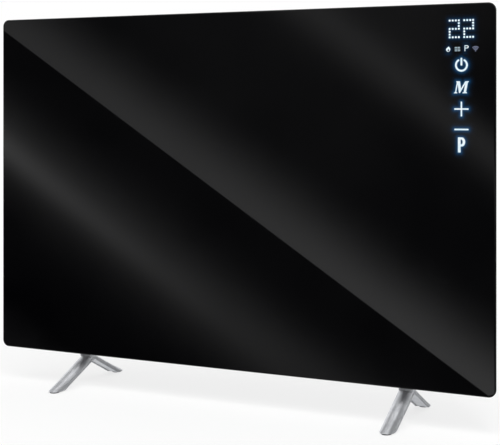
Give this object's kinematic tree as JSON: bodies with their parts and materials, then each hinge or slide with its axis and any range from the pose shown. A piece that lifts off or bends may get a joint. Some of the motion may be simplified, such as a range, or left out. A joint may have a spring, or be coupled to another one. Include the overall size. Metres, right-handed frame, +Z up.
{
  "type": "infrared panel heater",
  "caption": "Flat infrared panel heater: black glass front with lit touch controls, shallow steel casing, splayed cast feet and rear wall hangers.",
  "frame": {"origin": "on the floor, in the middle of the footprint", "axes": "+X to the right seen from the front, -Y out of the glass, +Z up"},
  "size_m": [0.77, 0.1786, 0.549],
  "materials": {
    "toughened_glass": "black-backed toughened glass, polished",
    "cast_aluminium": "die-cast, satin brushed",
    "coated_steel": "fine-texture black powder coat",
    "zinc_steel": "bright zinc-plated",
    "extruded_aluminium": "mill-finish extrusion",
    "black_screw": "black zinc-nickel screw",
    "silicone": "cured silicone bead",
    "carbon_film": "carbon-printed polyester film",
    "copper": "bare copper",
    "mineral_wool": "pressed mineral wool",
    "foil": "bright foil",
    "ceramic": "glazed ceramic body",
    "black_plastic": "moulded ABS",
    "white_plastic": "moulded polyamide",
    "circuit_board": "solder-masked laminate",
    "clear_acrylic": "frosted acrylic",
    "lit_legend": "lit white-blue display",
    "tin_plate": "tin-plated shield",
    "rubber": "moulded rubber pad",
    "brass": "stamped brass",
    "brown_sleeve": "silicone-sleeved lead",
    "blue_sleeve": "silicone-sleeved lead",
    "green_sleeve": "silicone-sleeved lead"
  },
  "bodies": {
    "heater": {"glass_front": "toughened_glass", "adhesive_gasket": "silicone", "mounting_frame": "extruded_aluminium", "rear_cover": "coated_steel", "heating_film": "carbon_film", "busbar_top": "copper", "busbar_bottom": "copper", "insulation_mat": "mineral_wool", "reflector_foil": "foil", "thermal_cutout": "ceramic", "control_tray": "black_plastic", "power_board": "circuit_board", "terminal_block": "white_plastic", "relay": "black_plastic", "transformer": "copper", "tip_switch": "white_plastic", "display_carrier": "black_plastic", "touch_foil": "clear_acrylic", "light_guide": "clear_acrylic", "dot_matrix_display": "lit_legend", "display_board": "circuit_board", "buzzer": "black_plastic", "radio_module": "tin_plate", "ribbon_cable": "white_plastic", "switch_body": "black_plastic", "switch_tab_upper": "brass", "switch_tab_lower": "brass", "cord_gland": "black_plastic", "gland_nut": "black_plastic", "room_sensor": "black_plastic", "switch_lead_live": "brown_sleeve", "switch_lead_out": "brown_sleeve", "film_lead_upper": "brown_sleeve", "film_lead_lower": "blue_sleeve", "earth_lead": "green_sleeve", "foot_left": "cast_aluminium", "foot_bracket_left": "zinc_steel", "foot_pad_front_left": "rubber", "foot_pad_back_left": "rubber", "foot_screw_left_1": "black_screw", "foot_screw_left_2": "black_screw", "hanger_plate_left": "zinc_steel", "hanger_screw_left_1": "black_screw", "hanger_screw_left_2": "black_screw", "foot_right": "cast_aluminium", "foot_bracket_right": "zinc_steel", "foot_pad_front_right": "rubber", "foot_pad_back_right": "rubber", "foot_screw_right_1": "black_screw", "foot_screw_right_2": "black_screw", "hanger_plate_right": "zinc_steel", "hanger_screw_right_1": "black_screw", "hanger_screw_right_2": "black_screw", "cover_screw_1": "black_screw", "cover_screw_2": "black_screw", "cover_screw_3": "black_screw", "cover_screw_4": "black_screw", "cover_screw_5": "black_screw", "cover_screw_6": "black_screw"},
    "rocker": {"switch_rocker": "black_plastic"}
  },
  "joints": [
    {"name": "mains_switch", "type": "hinge", "parent": "heater", "child": "rocker", "pos_m": [0.3715, -0.01705, 0.2], "axis": [0, 1, 0], "range_deg": [0, 22]}
  ]
}
